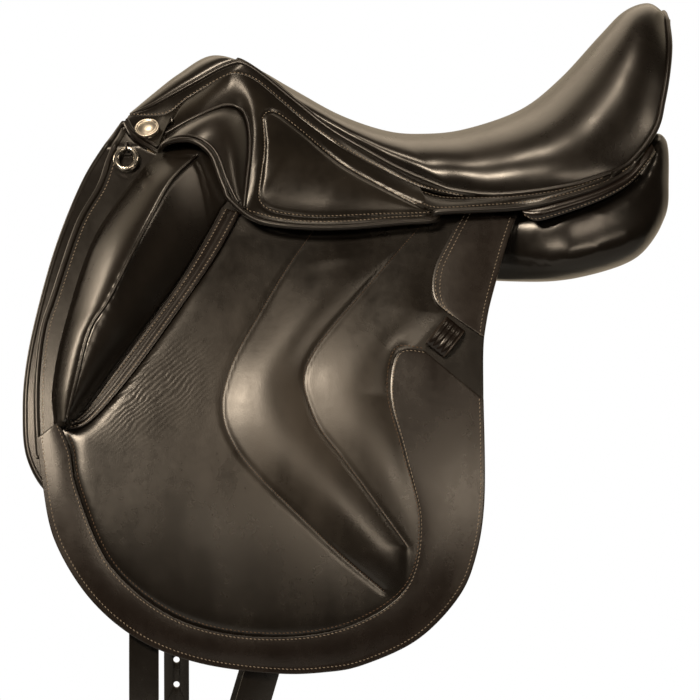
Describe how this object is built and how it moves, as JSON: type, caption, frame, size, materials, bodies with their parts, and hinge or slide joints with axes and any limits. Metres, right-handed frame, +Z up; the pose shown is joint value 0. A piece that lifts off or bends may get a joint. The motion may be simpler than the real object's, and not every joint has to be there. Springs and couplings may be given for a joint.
{
  "type": "dressage saddle",
  "caption": "Leather dressage saddle with a deep seat, long single flaps with thigh blocks, lifting skirts, stirrup bars and long girth straps.",
  "frame": {"origin": "middle of the gullet, on the plane that the panels bear on, below the seat", "axes": "+X to the rear of the saddle, +Y to the rider's right, +Z up"},
  "size_m": [0.5566, 0.47, 0.6879],
  "materials": {
    "leather": "semi-gloss black-brown bridle leather",
    "seat_leather": "soft grained leather with a polished sheen",
    "panel_leather": "soft glossy panel leather",
    "trim_leather": "smooth dark reddish-brown leather",
    "filling": "foam under the seat leather",
    "webbing": "woven webbing",
    "tree_wood": "laminated beech",
    "steel": "plain steel",
    "nickel": "polished nickel plate"
  },
  "bodies": {
    "saddle": {"tree": "tree_wood", "head_plate": "steel", "seat_webbing": "webbing", "seat_foam": "filling", "seat_cover": "seat_leather", "seat_welt": "leather", "cantle_back": "leather", "head_facing": "trim_leather", "gullet_lining": "panel_leather", "panel_left": "panel_leather", "panel_right": "panel_leather", "sweat_panel_left": "panel_leather", "sweat_panel_right": "panel_leather", "skirt_band_left": "leather", "skirt_band_right": "leather", "skirt_front_left": "leather", "skirt_front_right": "leather", "rear_band_left": "leather", "rear_band_right": "leather", "panel_facing_left": "trim_leather", "panel_facing_right": "trim_leather", "head_nail_left": "nickel", "head_nail_right": "nickel", "stirrup_bar_left": "steel", "stirrup_bar_right": "steel", "girth_web_front_left": "webbing", "girth_web_front_right": "webbing", "girth_web_rear_left": "webbing", "girth_web_rear_right": "webbing"},
    "left_flap": {"flap_left": "leather", "flap_border_left": "trim_leather", "flap_patch_left": "trim_leather", "keeper_left": "trim_leather", "thigh_block_left": "seat_leather", "block_flange_left": "trim_leather", "dee_staple_left": "nickel"},
    "right_flap": {"flap_right": "leather", "flap_border_right": "trim_leather", "flap_patch_right": "trim_leather", "keeper_right": "trim_leather", "thigh_block_right": "seat_leather", "block_flange_right": "trim_leather", "dee_staple_right": "nickel"},
    "left_skirt": {"skirt_left": "leather", "bar_pocket_left": "seat_leather", "skirt_piping_left": "leather"},
    "right_skirt": {"skirt_right": "leather", "bar_pocket_right": "seat_leather", "skirt_piping_right": "leather"},
    "left_ring": {"dee_ring_left": "nickel"},
    "right_ring": {"dee_ring_right": "nickel"},
    "left_catch": {"bar_catch_left": "steel"},
    "right_catch": {"bar_catch_right": "steel"},
    "left_front_billet": {"billet_front_left": "leather"},
    "right_front_billet": {"billet_front_right": "leather"},
    "left_rear_billet": {"billet_rear_left": "leather"},
    "right_rear_billet": {"billet_rear_right": "leather"}
  },
  "joints": [
    {"name": "left_flap_lift", "type": "hinge", "parent": "saddle", "child": "left_flap", "pos_m": [-0.196, -0.09048, 0.124], "axis": [-0.9754, 0.1432, 0.1679], "range_deg": [0, 12]},
    {"name": "right_flap_lift", "type": "hinge", "parent": "saddle", "child": "right_flap", "pos_m": [-0.196, 0.09048, 0.124], "axis": [0.9754, 0.1432, -0.1679], "range_deg": [0, 12]},
    {"name": "left_skirt_lift", "type": "hinge", "parent": "saddle", "child": "left_skirt", "pos_m": [-0.098, -0.063, 0.187], "axis": [-0.8102, 0.2908, 0.509], "range_deg": [0, 45]},
    {"name": "right_skirt_lift", "type": "hinge", "parent": "saddle", "child": "right_skirt", "pos_m": [-0.098, 0.063, 0.187], "axis": [0.8102, 0.2908, -0.509], "range_deg": [0, 45]},
    {"name": "left_ring_swing", "type": "hinge", "parent": "left_flap", "child": "left_ring", "pos_m": [-0.18834, -0.09902, 0.1192], "axis": [-0.9971, 0.0762, 0], "range_deg": [0, 100]},
    {"name": "right_ring_swing", "type": "hinge", "parent": "right_flap", "child": "right_ring", "pos_m": [-0.18834, 0.09902, 0.1192], "axis": [0.9971, 0.0762, 0], "range_deg": [0, 100]},
    {"name": "left_catch_turn", "type": "hinge", "parent": "saddle", "child": "left_catch", "pos_m": [-0.03949, -0.10089, 0.09953], "axis": [-0.0939, -0.0151, -0.9955], "range_deg": [-75, 0]},
    {"name": "right_catch_turn", "type": "hinge", "parent": "saddle", "child": "right_catch", "pos_m": [-0.03949, 0.10089, 0.09953], "axis": [0.0939, -0.0151, 0.9955], "range_deg": [-75, 0]},
    {"name": "left_front_billet_swing", "type": "hinge", "parent": "saddle", "child": "left_front_billet", "pos_m": [-0.167, -0.11594, 0.058], "axis": [0, 0.9047, -0.426], "range_deg": [-3, 8]},
    {"name": "right_front_billet_swing", "type": "hinge", "parent": "saddle", "child": "right_front_billet", "pos_m": [-0.167, 0.11594, 0.058], "axis": [0, 0.9047, 0.426], "range_deg": [-3, 8]},
    {"name": "left_rear_billet_swing", "type": "hinge", "parent": "saddle", "child": "left_rear_billet", "pos_m": [0.03, -0.1378, 0.034], "axis": [0, 1, 0], "range_deg": [-5, 3], "stiffness_Nm_per_rad": 1, "springref_deg": 1.89},
    {"name": "right_rear_billet_swing", "type": "hinge", "parent": "saddle", "child": "right_rear_billet", "pos_m": [0.03, 0.1378, 0.034], "axis": [0, 1, 0], "range_deg": [-5, 3], "stiffness_Nm_per_rad": 1, "springref_deg": 1.89}
  ]
}
